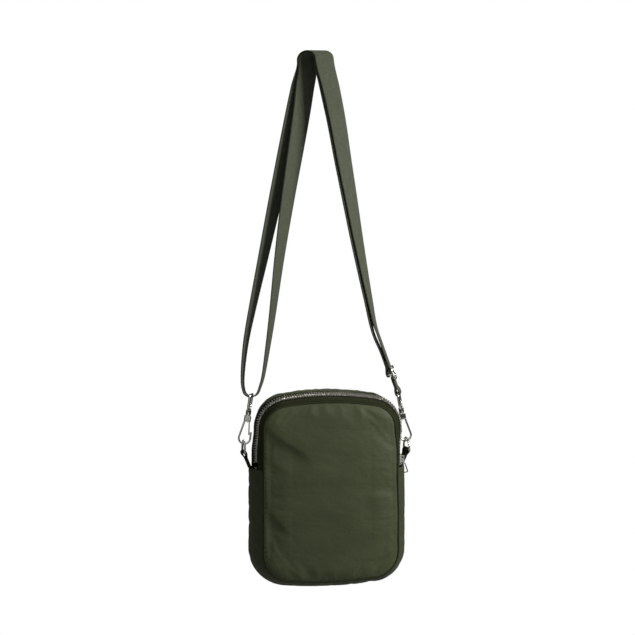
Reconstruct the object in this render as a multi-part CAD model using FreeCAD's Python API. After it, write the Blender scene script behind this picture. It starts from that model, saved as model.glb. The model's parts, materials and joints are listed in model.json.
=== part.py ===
import FreeCAD, Part
import math
import os

from FreeCAD import Vector

# Small soft crossbody purse, hanging from its strap. Millimetres, +Z up, -Y is the front, +X the wearer's
# right as seen from the front. The origin is the middle of the bag's flat base.
# Every piece is its own STEP file, and a file may hold a group of equal solids.

# ---- driving dimensions of the bag ----
SEAM_HALF_WIDTH = 70.0      # front and back seams, from the middle of the bag
SEAM_BOTTOM = 9.6
SEAM_TOP = 196.0
SEAM_DEPTH = 27.5           # each seam lies this far in front of or behind the middle
TOP_CORNER_R = 26.0
TOP_ARCH_R = 300.0
BOTTOM_CORNER_R = 28.0
BOTTOM_ARCH_R = 450.0
ZIP_END_Z = 125.0           # where the zip and the upper gusset stop, on both sides
LOWER_BULGE = 9.6           # how far the gusset swells past the seams
UPPER_BULGE = 7.0
FABRIC_T = 1.0
TAPE_T = 0.7
LINING_T = 0.5
PIPING_R = 1.5
SEAM_GAP = 0.2
FRONT_CROWN = 6.0           # the front panel stands this far past its seam
BACK_CROWN = 4.0
FRONT_STRIP_EDGE = -20.5    # where the narrow gusset strip in front of the zip ends, in Y
BACK_STRIP_EDGE = 2.0
BACK_TAPE_EDGE = 5.0
LINING_DROP = 1.6           # from the gusset down to its lining
BINDING_DROP = 2.6

# ---- zip ----
ZIP_Y = -12.0
TOOTH_PITCH = 2.6
TOOTH_LENGTH = 1.15
TOOTH_REACH = 3.0           # outer end of a tooth, from the chain's middle
TOOTH_CROSSING = 0.7        # how far its head passes the middle
TOOTH_HALF_T = 1.2
SLIDER_LENGTH = 11.0
PULL_LEAN = 12.0            # the pull stands off the swell of the gusset
PULL_TURN = -62.0           # its ring hangs turned from its link by this angle

# ---- ring tabs and D-rings ----
HANG_Y = 0.0                # the rings and hooks hang in this plane
RING_X = 87.2
RING_BAR_Z = 141.0
RING_WIRE_R = 1.1
RING_HALF_WIDTH = 10.5
RING_SIDE = 2.0
TAB_HALF_WIDTH = 7.0
TAB_HALF_T = 1.5
RING_TOP_Z = RING_BAR_Z + RING_SIDE + RING_HALF_WIDTH

# ---- swivel hooks, in a frame with Z up the hook and 0 at the bottom of its loop ----
HOOK_WIRE_R = 1.0
HOOK_LOOP_R = 6.0
HOOK_SLACK = 1.2
HEAD_BOTTOM = 23.0
HEAD_TOP = 30.0
HEAD_HALF_X = 3.4
HEAD_HALF_Y = 3.0
PIVOT = (2.0, 26.0)
GATE_TIP = (3.9, 9.8)
GATE_PIN_R = 0.7
RIVET_R = 1.2
COLLAR_R = 2.8
COLLAR_TOP = 35.7
EYE_WIRE_R = 1.2
EYE_BAR_Z = 51.5
EYE_HALF_WIDTH = 15.6
LEFT_LEAN = 9.0             # each hook leans in towards the strap, in degrees
RIGHT_LEAN = 10.0
LEFT_YAW = 13.0             # the strap's width turns this far from the Y axis where it meets each eye
RIGHT_YAW = 18.0

# ---- strap ----
WEB_W = 25.0
WEB_T = 1.4
ROD_R = 6.0                 # the peg that the strap hangs over
ROD_ANGLE = 27.0            # the peg's direction, from +X towards +Y
ROD_RISE = 7.0              # the peg rises to the right
ROD_CENTRE = Vector(-11.5, 0.0, 551.4)
ROD_DRIFT = 5.0             # half the sideways drift of the strap along the peg
LOOP_R = 8.0                # the strap's turn through the left eye
LOOP_SPREAD = 17.0          # the loop's two sides lean apart by this angle each
BUCKLE_R = 0.9
SEWN_END = 18.0             # length of the doubled, sewn webbing above the right eye
SLIDE_LOW = 15.5            # the adjuster's lower and upper bars at the strap's longest setting
SLIDE_HIGH = 28.5
STRAIGHT_TOP = 68.0         # end of the straight webbing that the adjuster slides on
END_LEAN = 19.5             # the strap's direction above the right eye, from vertical

# how far from the middle each side of the strap hangs, as (x, z)
LEFT_OUTER = [(-88.0, 218.0), (-84.9, 252.0), (-79.0, 284.0), (-65.7, 346.0), (-53.3, 404.0),
              (-34.7, 488.0), (-27.3, 520.0)]
LEFT_INNER = [(-67.3, 218.0), (-61.7, 252.0), (-57.1, 284.0), (-49.2, 346.0), (-40.6, 404.0),
              (-26.8, 488.0), (-22.2, 520.0)]
RIGHT_FRONT = [(48.0, 299.0), (35.1, 362.0), (27.2, 404.0), (19.2, 446.0), (11.6, 488.0), (4.6, 520.0)]
RIGHT_REAR = [(51.5, 264.7), (44.3, 299.0), (31.7, 362.0), (24.0, 404.0), (16.3, 446.0), (8.9, 488.0),
              (2.2, 520.0)]
LEFT_TWIST, RIGHT_TWIST = 1.0, 0.85      # how late the webbing twists on its way up

X, Y, Z = Vector(1, 0, 0), Vector(0, 1, 0), Vector(0, 0, 1)


def peg_axes():
    """The peg's direction, the horizontal across it towards the back, and the direction square to both."""
    turn, rise = math.radians(ROD_ANGLE), math.radians(ROD_RISE)
    axis = Vector(math.cos(turn) * math.cos(rise), math.sin(turn) * math.cos(rise), math.sin(rise))
    back = Vector(-math.sin(turn), math.cos(turn), 0)
    return axis, back, axis.cross(back)


ROD_AXIS, ROD_BACK, ROD_UP = peg_axes()


# ---- general helpers ----
class Frame:
    """A place and three perpendicular directions, for parts that are drawn in their own axes."""

    def __init__(self, origin, a, b):
        self.o, self.a, self.b = origin, a, b
        self.c = a.cross(b)

    def at(self, a, b, c=0.0):
        return self.o + self.a * a + self.b * b + self.c * c

    def moved(self, a, b, c=0.0):
        return Frame(self.at(a, b, c), self.a, self.b)

    def place(self, shape):
        """Carries a shape drawn with its axes along X, Y and Z into this frame."""
        m = FreeCAD.Matrix(
            self.a.x, self.b.x, self.c.x, self.o.x,
            self.a.y, self.b.y, self.c.y, self.o.y,
            self.a.z, self.b.z, self.c.z, self.o.z,
            0, 0, 0, 1)
        return shape.transformed(m)

    def box(self, a0, a1, b0, b1, c0, c1):
        return self.place(Part.makeBox(a1 - a0, b1 - b0, c1 - c0, Vector(a0, b0, c0)))


def save(name, *solids):
    shape = solids[0] if len(solids) == 1 else Part.makeCompound(list(solids))
    shape.exportStep(os.path.join("parts", name + ".step"))


def fuse(solids):
    solids = list(solids)
    if len(solids) == 1:
        return solids[0]
    joined = solids[0].multiFuse(solids[1:]).removeSplitter()
    return joined.Solids[0] if len(joined.Solids) == 1 else joined


def rounded(points, radii, closed=False):
    """Lines and tangent arcs through points, in a plane.

    Each arc is (centre, radius, start, sweep) in radians.
    """
    count = len(points)
    corners = range(count) if closed else range(1, count - 1)
    cut = {}
    for i in corners:
        before, here, after = points[i - 1], points[i], points[(i + 1) % count]
        if radii[i] <= 0:
            cut[i] = (here, here, None)
            continue
        u = (before[0] - here[0], before[1] - here[1])
        v = (after[0] - here[0], after[1] - here[1])
        lu, lv = math.hypot(*u), math.hypot(*v)
        u, v = (u[0] / lu, u[1] / lu), (v[0] / lv, v[1] / lv)
        half = math.acos(max(-1.0, min(1.0, u[0] * v[0] + u[1] * v[1]))) / 2
        reach = radii[i] / math.tan(half)
        p = (here[0] + u[0] * reach, here[1] + u[1] * reach)
        q = (here[0] + v[0] * reach, here[1] + v[1] * reach)
        mid = (u[0] + v[0], u[1] + v[1])
        size = math.hypot(*mid)
        away = radii[i] / math.sin(half)
        centre = (here[0] + mid[0] / size * away, here[1] + mid[1] / size * away)
        start = math.atan2(p[1] - centre[1], p[0] - centre[0])
        end = math.atan2(q[1] - centre[1], q[0] - centre[0])
        sweep = (end - start + math.pi) % (2 * math.pi) - math.pi
        cut[i] = (p, q, ("arc", centre, radii[i], start, sweep))
    path = []
    for i in range(count if closed else count - 1):
        j = (i + 1) % count
        p = cut[i][1] if i in cut else points[i]
        q = cut[j][0] if j in cut else points[j]
        if math.hypot(q[0] - p[0], q[1] - p[1]) > 1e-6:
            path.append(("line", p, q))
        if j in cut and cut[j][2]:
            path.append(cut[j][2])
    return path


def sweep(path, frame, profile):
    """Carries profile(point, outward, depth) along a planar path. Outward is to the right of the travel."""
    solids = []
    for kind, *data in path:
        if kind == "line":
            p, q = data
            run = frame.at(*q) - frame.at(*p)
            side = run.cross(frame.c).normalize()
            solids.append(profile(frame.at(*p), side, frame.c).extrude(run))
            continue
        centre, radius, start, turn = data
        radial = frame.a * math.cos(start) + frame.b * math.sin(start)
        at = frame.at(*centre) + radial * radius
        outward = radial if turn > 0 else radial * -1
        axis = frame.c if turn > 0 else frame.c * -1
        face = profile(at, outward, frame.c)
        solids.append(face.revolve(frame.at(*centre), axis, math.degrees(abs(turn))))
    return fuse(solids)


def tube(path, frame, radius):
    """A round wire bent along a planar path."""

    def section(at, outward, depth):
        return Part.Face(Part.Wire(Part.makeCircle(radius, at, outward.cross(depth))))

    return sweep(path, frame, section)


def rod(start, direction, radius, length):
    return Part.makeCylinder(radius, length, start, direction)


def bent_rod(points, radius):
    """A round rod through points, with ball corners."""
    pieces = [Part.makeSphere(radius, p) for p in points]
    for p, q in zip(points, points[1:]):
        pieces.append(rod(p, q - p, radius, (q - p).Length))
    return fuse(pieces)


# ---- the bag's outline: sides, corners and shallow arches, counter-clockwise from the right zip end ----
FRONT_VIEW = Frame(Vector(0, 0, 0), X, Z)       # its c axis points to the front, -Y


def arch(half_width, corner_r, arch_r, crown, up):
    """Centre height of the corners, centre height of the arch, and half the arch's angle."""
    inner = half_width - corner_r
    rise = math.sqrt((arch_r - corner_r) ** 2 - inner ** 2)
    return crown - up * (arch_r - rise), crown - up * arch_r, math.asin(inner / (arch_r - corner_r))


TOP_Z, TOP_ARCH_Z, TOP_HALF = arch(SEAM_HALF_WIDTH, TOP_CORNER_R, TOP_ARCH_R, SEAM_TOP, 1)
LOW_Z, LOW_ARCH_Z, LOW_HALF = arch(SEAM_HALF_WIDTH, BOTTOM_CORNER_R, BOTTOM_ARCH_R, SEAM_BOTTOM, -1)
QUARTER = math.pi / 2


def upper_path(n=0.0, end=ZIP_END_Z):
    """The zip's half of the outline, n outside the seam."""
    w, c = SEAM_HALF_WIDTH + n, SEAM_HALF_WIDTH - TOP_CORNER_R
    return [
        ("line", (w, end), (w, TOP_Z)),
        ("arc", (c, TOP_Z), TOP_CORNER_R + n, 0.0, QUARTER - TOP_HALF),
        ("arc", (0.0, TOP_ARCH_Z), TOP_ARCH_R + n, QUARTER - TOP_HALF, 2 * TOP_HALF),
        ("arc", (-c, TOP_Z), TOP_CORNER_R + n, QUARTER + TOP_HALF, QUARTER - TOP_HALF),
        ("line", (-w, TOP_Z), (-w, end)),
    ]


def lower_path(n=0.0, end=ZIP_END_Z):
    """The base and lower sides, n outside the seam."""
    w, c = SEAM_HALF_WIDTH + n, SEAM_HALF_WIDTH - BOTTOM_CORNER_R
    return [
        ("line", (-w, end), (-w, LOW_Z)),
        ("arc", (-c, LOW_Z), BOTTOM_CORNER_R + n, 2 * QUARTER, QUARTER - LOW_HALF),
        ("arc", (0.0, LOW_ARCH_Z), BOTTOM_ARCH_R + n, 3 * QUARTER - LOW_HALF, 2 * LOW_HALF),
        ("arc", (c, LOW_Z), BOTTOM_CORNER_R + n, 3 * QUARTER + LOW_HALF, QUARTER - LOW_HALF),
        ("line", (w, LOW_Z), (w, end)),
    ]


def outline_wire(n, y):
    """The whole outline as one closed wire, n outside the seam and at depth y."""
    edges = []
    for kind, *data in upper_path(n) + lower_path(n):
        if kind == "line":
            (x0, z0), (x1, z1) = data
            edges.append(Part.makeLine(Vector(x0, y, z0), Vector(x1, y, z1)))
        else:
            (cx, cz), r, start, turn = data
            ends = [start, start + turn / 2, start + turn]
            at = [Vector(cx + r * math.cos(t), y, cz + r * math.sin(t)) for t in ends]
            edges.append(Part.Arc(*at).toShape())
    return Part.Wire(edges)


class Bulge:
    """The gusset's section: an arc from seam to seam that swells outwards."""

    def __init__(self, height):
        self.r = (SEAM_DEPTH ** 2 + height ** 2) / (2 * height)
        self.centre = height - self.r

    def angle(self, y):
        return math.asin(y / self.r)

    def n(self, y, offset=0.0):
        return self.centre + (self.r + offset) * math.cos(self.angle(y))

    def strip(self, y0, y1, low, high):
        """A profile from depth y0 to y1, between two heights above the arc."""
        angles = [self.angle(y0), self.angle((y0 + y1) / 2), self.angle(y1)]

        def section(at, outward, depth):
            def points(offset):
                radius = self.r + offset
                return [at + outward * (self.centre + radius * math.cos(t))
                        + Y * (radius * math.sin(t)) for t in angles]

            inner, outer = points(low), points(high)
            edges = [
                Part.Arc(*outer).toShape(),
                Part.makeLine(outer[2], inner[2]),
                Part.Arc(*reversed(inner)).toShape(),
                Part.makeLine(inner[0], outer[0]),
            ]
            return Part.Face(Part.Wire(edges))

        return section


LOWER, UPPER = Bulge(LOWER_BULGE), Bulge(UPPER_BULGE)
STRIP_EDGE = SEAM_DEPTH - PIPING_R - SEAM_GAP


# ---- bag shell ----
def domed_panel(front, rise):
    """A panel that crowns outwards from the seam by rise, one fabric thick."""
    steps = [(-PIPING_R - SEAM_GAP, 0.0), (-9.0, 0.62 * rise), (-22.0, rise)]

    def body(lift):
        wires = [outline_wire(n, front * (SEAM_DEPTH - 0.5 + d - lift)) for n, d in steps]
        return Part.makeLoft(wires, True, True)

    return body(0.0).cut(body(FABRIC_T)).Solids[0]


def piping(y):
    def section(at, outward, depth):
        centre = at + Y * y
        return Part.Face(Part.Wire(Part.makeCircle(PIPING_R, centre, outward.cross(depth))))

    return sweep(upper_path() + lower_path(), FRONT_VIEW, section)


def binding(y):
    """The tape that closes a seam's raw edges inside the bag."""

    def section(at, outward, depth):
        corners = [at + outward * n + Y * (y + d)
                   for n, d in ((-4, -0.5), (-2.2, -0.5), (-2.2, 0.5), (-4, 0.5))]
        return Part.Face(Part.makePolygon(corners + corners[:1]))

    return sweep(upper_path() + lower_path(), FRONT_VIEW, section)


def flat_lining(y):
    face = Part.Face(outline_wire(-4.5, y))
    return face.extrude(Vector(0, LINING_T, 0))


def shell():
    half = FABRIC_T / 2
    base = Part.makeBox(400, 400, 300, Vector(-200, -200, 0))
    lower = sweep(lower_path(end=ZIP_END_Z - 0.4), FRONT_VIEW, LOWER.strip(
        -STRIP_EDGE, STRIP_EDGE, -half, half))
    save("lower_gusset", lower.common(base).Solids[0])
    lap = TAPE_T / 2 + 0.05
    save("upper_gusset_front", sweep(upper_path(), FRONT_VIEW, UPPER.strip(
        -STRIP_EDGE, FRONT_STRIP_EDGE, lap, lap + FABRIC_T)))
    save("upper_gusset_back", sweep(upper_path(), FRONT_VIEW, UPPER.strip(
        BACK_STRIP_EDGE, STRIP_EDGE, lap, lap + FABRIC_T)))
    save("zip_tape_front", sweep(upper_path(), FRONT_VIEW, UPPER.strip(
        -STRIP_EDGE + 1.0, ZIP_Y - TOOTH_REACH - 0.1, -TAPE_T / 2, TAPE_T / 2)))
    save("zip_tape_back", sweep(upper_path(), FRONT_VIEW, UPPER.strip(
        ZIP_Y + TOOTH_REACH + 0.1, BACK_TAPE_EDGE, -TAPE_T / 2, TAPE_T / 2)))
    save("front_panel", domed_panel(-1, FRONT_CROWN))
    save("back_panel", domed_panel(1, BACK_CROWN))
    save("front_piping", piping(-SEAM_DEPTH))
    save("back_piping", piping(SEAM_DEPTH))
    save("front_seam_binding", binding(-SEAM_DEPTH + BINDING_DROP))
    save("back_seam_binding", binding(SEAM_DEPTH - BINDING_DROP))
    save("lining_front_panel", flat_lining(-SEAM_DEPTH + 2.4))
    save("lining_back_panel", flat_lining(SEAM_DEPTH - 2.4 - LINING_T))
    inside = STRIP_EDGE - 2.2
    save("lining_lower_gusset", sweep(lower_path(end=ZIP_END_Z - 0.6), FRONT_VIEW, LOWER.strip(
        -inside, inside, -LINING_DROP - LINING_T, -LINING_DROP)))
    save("lining_upper_gusset", sweep(upper_path(), FRONT_VIEW, UPPER.strip(
        BACK_TAPE_EDGE + 0.5, inside, -LINING_DROP - LINING_T, -LINING_DROP)))


# ---- zip ----
ZIP_ANGLE = UPPER.angle(ZIP_Y)
ZIP_N = UPPER.n(ZIP_Y)


def zip_frame(at, outward, along):
    """a across the chain towards the back, b along it, c out of the bag."""
    out = outward * math.cos(ZIP_ANGLE) + Y * math.sin(ZIP_ANGLE)
    return Frame(at, along.cross(out), along)


def along_zip(distance):
    """The zip's frame at a distance along the chain, from its right end."""
    for kind, *data in upper_path(ZIP_N):
        if kind == "line":
            p, q = data
            length = math.hypot(q[0] - p[0], q[1] - p[1])
            t = (q[0] - p[0]) / length, (q[1] - p[1]) / length
            here = p[0] + t[0] * distance, p[1] + t[1] * distance
            outward = t[1], -t[0]
        else:
            centre, r, start, turn = data
            length = r * turn
            a = start + distance / r
            outward = math.cos(a), math.sin(a)
            here = centre[0] + r * outward[0], centre[1] + r * outward[1]
            t = -outward[1], outward[0]
        if distance <= length:
            break
        distance -= length
    place = Vector(here[0], ZIP_Y, here[1])
    return zip_frame(place, Vector(outward[0], 0, outward[1]), Vector(t[0], 0, t[1]))


def zip_length():
    return sum(math.hypot(d[1][0] - d[0][0], d[1][1] - d[0][1]) if kind == "line" else d[1] * d[3]
               for kind, *d in upper_path(ZIP_N))


def tooth(frame, side):
    """One tooth: a foot on the tape and a narrower head over the middle of the chain."""
    half = TOOTH_LENGTH / 2
    foot = sorted((side * 1.1, side * TOOTH_REACH))
    head = sorted((-side * TOOTH_CROSSING, side * 1.1))
    return fuse([
        frame.box(foot[0], foot[1], -half, half, -TOOTH_HALF_T, TOOTH_HALF_T),
        frame.box(head[0], head[1], -half, half, -0.8, 0.8),
    ])


def zip_chain():
    first, total = 5.0, zip_length()
    count = int((total - first - 4.0) / TOOTH_PITCH)
    front = [tooth(along_zip(first + i * TOOTH_PITCH), -1) for i in range(count)]
    back = [tooth(along_zip(first + (i + 0.5) * TOOTH_PITCH), 1) for i in range(count)]
    save("zip_teeth_front", *front)
    save("zip_teeth_back", *back)
    stops = [
        along_zip(0.9).box(side - 0.9, side + 0.9, -0.7, 0.7, -TOOTH_HALF_T, TOOTH_HALF_T)
        for side in (-2.15, 2.15)
    ]
    last = along_zip(total - 1.5)
    stops.append(last.box(-TOOTH_REACH, TOOTH_REACH, -0.9, 0.9, -TOOTH_HALF_T, TOOTH_HALF_T))
    save("zip_end_stops", *stops)


def zip_slider():
    """Two plates joined by a wedge at the nose, side flanges round the chain, and a bridge for the pull."""
    f = along_zip(2.0 + SLIDER_LENGTH / 2)
    end, wide, gap, plate = SLIDER_LENGTH / 2, 4.4, 1.5, 1.0
    corners = [(-wide, -end), (wide, -end), (wide - 0.7, end), (0.7 - wide, end)]
    outline = rounded(corners, [2.0, 2.0, 1.2, 1.2], True)

    def slab(c0, c1):
        edges = []
        for kind, *data in outline:
            if kind == "line":
                edges.append(Part.makeLine(f.at(*data[0], c0), f.at(*data[1], c0)))
            else:
                centre, r, start, turn = data
                at = [f.at(centre[0] + r * math.cos(t), centre[1] + r * math.sin(t), c0)
                      for t in (start, start + turn / 2, start + turn)]
                edges.append(Part.Arc(*at).toShape())
        return Part.Face(Part.Wire(edges)).extrude(f.c * (c1 - c0))

    flanges = [f.box(s * 3.75 - 0.35, s * 3.75 + 0.35, 1.6 - end, end - 1.6, *c)
               for s in (-0.94, 0.94) for c in ((-gap, -0.5), (0.5, gap))]
    wedge = f.box(-0.9, 0.9, -end + 0.3, -end + 2.0, -gap, gap)
    save("zip_slider_body", fuse([slab(gap, gap + plate), slab(-gap - plate, -gap), wedge, *flanges]))
    top = gap + plate
    legs = [f.box(-0.9, 0.9, v, v + 1.1, top, top + 2.3) for v in (-3.6, 2.5)]
    bridge = fuse([*legs, f.box(-0.9, 0.9, -3.6, 3.6, top + 2.3, top + 3.2)])
    save("zip_slider_bridge", bridge)
    hinge = f.moved(0, 0, top + 1.2)
    lean = math.radians(PULL_LEAN)
    hinge = Frame(hinge.o, hinge.a, hinge.b * math.cos(lean) - hinge.c * math.sin(lean))
    zip_pull(hinge)


def zip_pull(hinge):
    """A link on a round bar under the slider's bridge, and an open trapezoid of wire that hangs in it."""
    bar = rod(hinge.at(-2.5, 0), hinge.a, 0.8, 5.0)
    rails = [hinge.box(s * 2.2 - 0.55, s * 2.2 + 0.55, -6.2, 0.0, -0.6, 0.6) for s in (-1, 1)]
    foot = hinge.box(-2.75, 2.75, -6.8, -5.7, -0.6, 0.6)
    save("zip_pull_link", fuse([bar, *rails, foot]))
    turn = math.radians(PULL_TURN)
    across = hinge.a * math.cos(turn) + hinge.c * math.sin(turn)
    ring = Frame(hinge.o, across, hinge.b)
    path = rounded([(-1.9, -5.0), (1.9, -5.0), (3.0, -14.5), (-3.0, -14.5)], [0.6, 0.6, 1.0, 1.0], True)
    save("zip_pull_ring", sweep(path, ring, flat_wire(1.0, 1.0)))


def flat_wire(width, depth_size):
    def section(at, outward, depth):
        corners = [at + outward * (s * width / 2) + depth * (t * depth_size / 2)
                   for s, t in ((-1, -1), (1, -1), (1, 1), (-1, 1))]
        return Part.Face(Part.makePolygon(corners + corners[:1]))

    return section


# ---- D-rings and their tabs ----
def d_ring(side):
    f = Frame(Vector(side * RING_X, HANG_Y, RING_BAR_Z), Y, Z)
    w, top = RING_HALF_WIDTH, RING_SIDE + RING_HALF_WIDTH
    path = rounded([(-w, 0), (w, 0), (w, top), (-w, top)], [1.6, 1.6, w - 0.001, w - 0.001], True)
    return tube(path, f, RING_WIRE_R)


def ring_tab(side):
    """A fabric strip folded round the ring's bar, its two ends sewn into the gusset seam."""
    foot = Vector(side * (SEAM_HALF_WIDTH + LOWER_BULGE + 1.1), HANG_Y, ZIP_END_Z - 0.1)
    bar = Vector(side * RING_X, HANG_Y, RING_BAR_Z)
    run = bar - foot
    length = run.Length
    up = run.normalize()
    f = Frame(bar - Y * TAB_HALF_WIDTH, up, Y.cross(up))
    eye, strip = RING_WIRE_R + 0.25, TAB_HALF_T
    body = f.box(-length, 0, -strip, strip, 0, 2 * TAB_HALF_WIDTH)
    turn = rod(f.o, f.c, eye + TAB_HALF_T * 0.8, 2 * TAB_HALF_WIDTH)
    hole = rod(f.o - f.c, f.c, eye, 2 * TAB_HALF_WIDTH + 2)
    return body.fuse(turn).cut(hole).Solids[0]


# ---- swivel hook ----
def hook_frames(side, lean, strap_yaw):
    """a across the hook away from the bag, b up the hook, c along the depth of the bag."""
    foot = Vector(side * RING_X, HANG_Y, RING_TOP_Z - RING_WIRE_R - HOOK_WIRE_R - HOOK_SLACK)
    t = math.radians(lean)
    up = Vector(-side * math.sin(t), 0, math.cos(t))
    body = Frame(foot, up.cross(Y) * (-side), up)
    yaw = math.radians(90 - strap_yaw)
    width = Vector(math.cos(yaw), math.sin(yaw), 0)
    across = (width - up * width.dot(up)).normalize()
    return body, Frame(foot, across, up)


def hook_parts(prefix, f):
    """Hook, gate, pin, spring and swivel rivet, with the gate on the side of the hook that faces the bag."""
    r = HOOK_LOOP_R
    left = (HEAD_HALF_X - 0.8, HEAD_BOTTOM + 0.5)
    reach = math.hypot(left[0], left[1] - r)
    turn = math.atan2(left[1] - r, left[0]) - math.acos(r / reach)
    touch = (r * math.cos(turn), r + r * math.sin(turn))
    nose = 12.0
    wire = [
        ("line", left, touch),
        ("arc", (0.0, r), r, turn, -(math.pi + turn)),
        ("line", (-r, r), (-r + 0.3, nose)),
    ]
    loop = tube(wire, f, HOOK_WIRE_R)
    tip = Part.makeSphere(HOOK_WIRE_R, f.at(-r + 0.3, nose))
    head = f.box(-HEAD_HALF_X, HEAD_HALF_X, HEAD_BOTTOM, HEAD_TOP, -HEAD_HALF_Y, HEAD_HALF_Y)
    head = head.makeFillet(1.2, head.Edges)
    slot = f.box(-HEAD_HALF_X - 1, -0.1, HEAD_BOTTOM - 1, 28.3, -1.65, 1.65)
    pin_start = f.at(-PIVOT[0], PIVOT[1], -HEAD_HALF_Y)
    pin_hole = rod(pin_start - f.c, f.c, GATE_PIN_R + 0.01, 2 * HEAD_HALF_Y + 2)
    rivet_hole = rod(f.at(0, 28.0), f.b, RIVET_R + 0.01, 5)
    frame = fuse([head, loop, tip]).cut(slot).cut(pin_hole).cut(rivet_hole)
    save(prefix + "_hook_frame", max(frame.Solids, key=lambda s: s.Volume))
    save(prefix + "_gate_pin", rod(pin_start + f.c * 0.15, f.c, GATE_PIN_R, 2 * HEAD_HALF_Y - 0.3))

    barrel = rod(f.at(-PIVOT[0], PIVOT[1], -1.5), f.c, 1.5, 1.9)
    arm = gate_arm(f)
    bore = rod(pin_start - f.c, f.c, GATE_PIN_R + 0.06, 2 * HEAD_HALF_Y + 2)
    save(prefix + "_gate", fuse([barrel, arm]).cut(bore).Solids[0])

    leaf = rounded([(-3.1, 27.9), (-0.55, 27.9), (-0.55, 23.6), (-1.1, 21.6)], [0, 0.5, 1.5, 0])
    save(prefix + "_gate_spring", sweep(leaf, f.moved(0, 0, 0.95), flat_wire(0.25, 0.8)))

    rivet = rod(f.at(0, 28.1), f.b, RIVET_R, COLLAR_TOP + 0.2 - 28.1)
    rivet_head = rod(f.at(0, COLLAR_TOP + 0.2), f.b, 2.1, 1.2)
    save(prefix + "_swivel_rivet", fuse([rivet, rivet_head]))


def gate_arm(f):
    """A flat lever from the pivot to just inside the hook's nose."""
    dx, dz = -GATE_TIP[0] + PIVOT[0], GATE_TIP[1] - PIVOT[1]
    length = math.hypot(dx, dz)
    along = f.a * (dx / length) + f.b * (dz / length)
    arm = Frame(f.at(-PIVOT[0], PIVOT[1]), along, f.c.cross(along))
    return arm.box(0.9, length, -0.65, 0.65, -1.3, 0.3)


def eye(f):
    """A D-shaped wire eye on a collar that turns on the rivet."""
    w, low = EYE_HALF_WIDTH, COLLAR_TOP - 2.2
    corners = [(1.6, low), (w, low + 4.5), (w, EYE_BAR_Z), (-w, EYE_BAR_Z), (-w, low + 4.5), (-1.6, low)]
    path = rounded(corners, [0, 4.0, 2.4, 2.4, 4.0, 0])
    wire = tube(path, f, EYE_WIRE_R)
    collar = rod(f.at(0, HEAD_TOP + 0.15), f.b, COLLAR_R, COLLAR_TOP - HEAD_TOP - 0.15)
    collar = collar.makeChamfer(0.6, [e for e in collar.Edges if len(e.Vertexes) == 1])
    bore = rod(f.at(0, HEAD_TOP - 1), f.b, RIVET_R + 0.06, 12)
    room = rod(f.at(0, COLLAR_TOP), f.b, 2.5, 3.0)
    return fuse([wire, collar]).cut(bore).cut(room).Solids[0]


# ---- strap ----
def web_face(f, centreline, thickness):
    """The edge-on outline of webbing that follows lines and arcs in a frame's a-b plane."""

    def section(at, outward, depth):
        corners = [at + outward * (s * thickness / 2) + depth * (t * WEB_W / 2)
                   for s, t in ((-1, -1), (1, -1), (1, 1), (-1, 1))]
        return Part.Face(Part.makePolygon(corners + corners[:1]))

    return sweep(centreline, f, section)


def strap_section(at, tangent, width):
    """A rectangle of webbing across the tangent, its long side as near to width as it can be."""
    tangent = Vector(tangent).normalize()
    across = (width - tangent * width.dot(tangent)).normalize()
    normal = tangent.cross(across)
    corners = [at + across * (s * WEB_W / 2) + normal * (t * WEB_T / 2)
               for s, t in ((-1, -1), (1, -1), (1, 1), (-1, 1))]
    return Part.makePolygon(corners + corners[:1])


class Hang:
    """A smooth hanging line through points, each with its own height."""

    def __init__(self, points, start_dir, end_dir):
        self.points = points
        last = len(points) - 1
        self.slopes = [start_dir * (1 / start_dir.z)]
        self.slopes += [(points[i + 1] - points[i - 1]) * (1 / (points[i + 1].z - points[i - 1].z))
                        for i in range(1, last)]
        self.slopes.append(end_dir * (1 / end_dir.z))

    def at(self, z):
        """The point at a height, and the direction of the line there."""
        i = max(k for k in range(len(self.points) - 1) if k == 0 or self.points[k].z <= z)
        p, q = self.points[i], self.points[i + 1]
        h = q.z - p.z
        t = (z - p.z) / h
        m, n = self.slopes[i] * h, self.slopes[i + 1] * h
        place = (p * (2 * t ** 3 - 3 * t ** 2 + 1) + m * (t ** 3 - 2 * t ** 2 + t)
                 + q * (3 * t ** 2 - 2 * t ** 3) + n * (t ** 3 - t ** 2))
        slope = (p * (6 * t ** 2 - 6 * t) + m * (3 * t ** 2 - 4 * t + 1)
                 + q * (6 * t - 6 * t ** 2) + n * (3 * t ** 2 - 2 * t)) * (1 / h)
        return place, slope


def strap_run(points, start_dir, start_width, twist_from, twist_power, count=21):
    """Webbing that follows a hanging line and twists to the peg's direction, most of it near the top."""
    line = Hang(points, start_dir, ROD_UP)
    low, high = points[0].z, points[-1].z
    sections = []
    for i in range(count):
        z = low + (high - low) * i / (count - 1)
        place, slope = line.at(z)
        share = max(0.0, (z - twist_from) / (high - twist_from)) ** twist_power
        width = start_width * (1 - share) + ROD_AXIS * share
        sections.append(strap_section(place, slope, width))
    return Part.makeLoft(sections, True, False)


class Fold:
    """A layer of webbing over the peg: half a turn that drifts sideways along it."""

    def __init__(self, radius):
        self.radius = radius

    def point(self, t):
        """t runs from 0 at the front to 1 at the back."""
        a = math.pi * t
        return (ROD_CENTRE - ROD_BACK * (self.radius * math.cos(a)) + ROD_UP * (self.radius * math.sin(a))
                + ROD_AXIS * (ROD_DRIFT * math.cos(a)))

    def solid(self, count=13):
        sections = []
        for i in range(count):
            a = math.pi * i / (count - 1)
            out = ROD_UP * math.sin(a) - ROD_BACK * math.cos(a)
            corners = [self.point(i / (count - 1)) + ROD_AXIS * (s * WEB_W / 2) + out * (t * WEB_T / 2)
                       for s, t in ((-1, -1), (1, -1), (1, 1), (-1, 1))]
            sections.append(Part.makePolygon(corners + corners[:1]))
        return Part.makeLoft(sections, True, False)


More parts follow.
